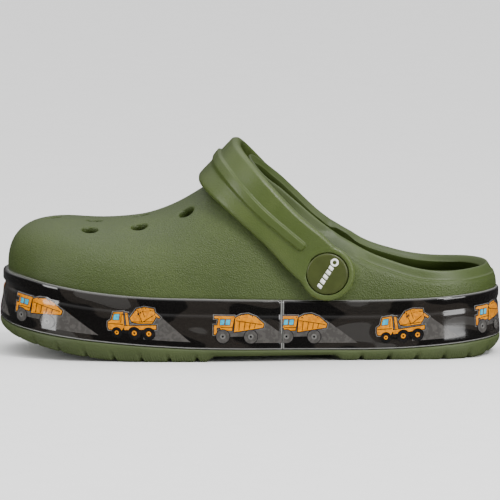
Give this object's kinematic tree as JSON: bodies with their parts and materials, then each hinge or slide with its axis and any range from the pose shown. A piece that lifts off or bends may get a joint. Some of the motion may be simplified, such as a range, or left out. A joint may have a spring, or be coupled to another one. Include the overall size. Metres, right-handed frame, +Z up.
{
  "type": "rubber garden clog",
  "caption": "Moulded foam slip-on clog with a vented round toe, a swinging heel strap on side rivets, a glossy band round the sole and a lugged tread.",
  "frame": {"origin": "on the ground, under the middle of the clog's overall length and width", "axes": "+X towards the heel, +Y towards the inner side of the foot (this is a left clog), +Z up"},
  "size_m": [0.2042, 0.0866, 0.0869],
  "materials": {
    "green_foam": "matte fine grain",
    "footbed_foam": "matte fine grain",
    "sole_foam": "matte",
    "printed_band": "gloss",
    "rivet_plastic": "satin"
  },
  "bodies": {
    "clog": {"upper_shell": "green_foam", "footbed": "footbed_foam", "outsole": "sole_foam", "toe_band": "printed_band", "heel_band": "printed_band"},
    "strap": {"heel_strap": "green_foam"},
    "lateral_rivet": {"lateral_rivet_button": "rivet_plastic", "lateral_rivet_cap": "rivet_plastic"},
    "medial_rivet": {"medial_rivet_button": "rivet_plastic", "medial_rivet_cap": "rivet_plastic"}
  },
  "joints": [
    {"name": "strap_swing", "type": "hinge", "parent": "clog", "child": "strap", "pos_m": [0.0313, -0.00229, 0.036], "axis": [0, 1, 0], "range_deg": [0, 118]},
    {"name": "lateral_rivet_spin", "type": "hinge", "parent": "clog", "child": "lateral_rivet", "pos_m": [0.0313, -0.0365, 0.036], "axis": [0, 1, 0], "continuous": true},
    {"name": "medial_rivet_spin", "type": "hinge", "parent": "clog", "child": "medial_rivet", "pos_m": [0.0313, 0.032, 0.036], "axis": [0, 1, 0], "continuous": true}
  ]
}
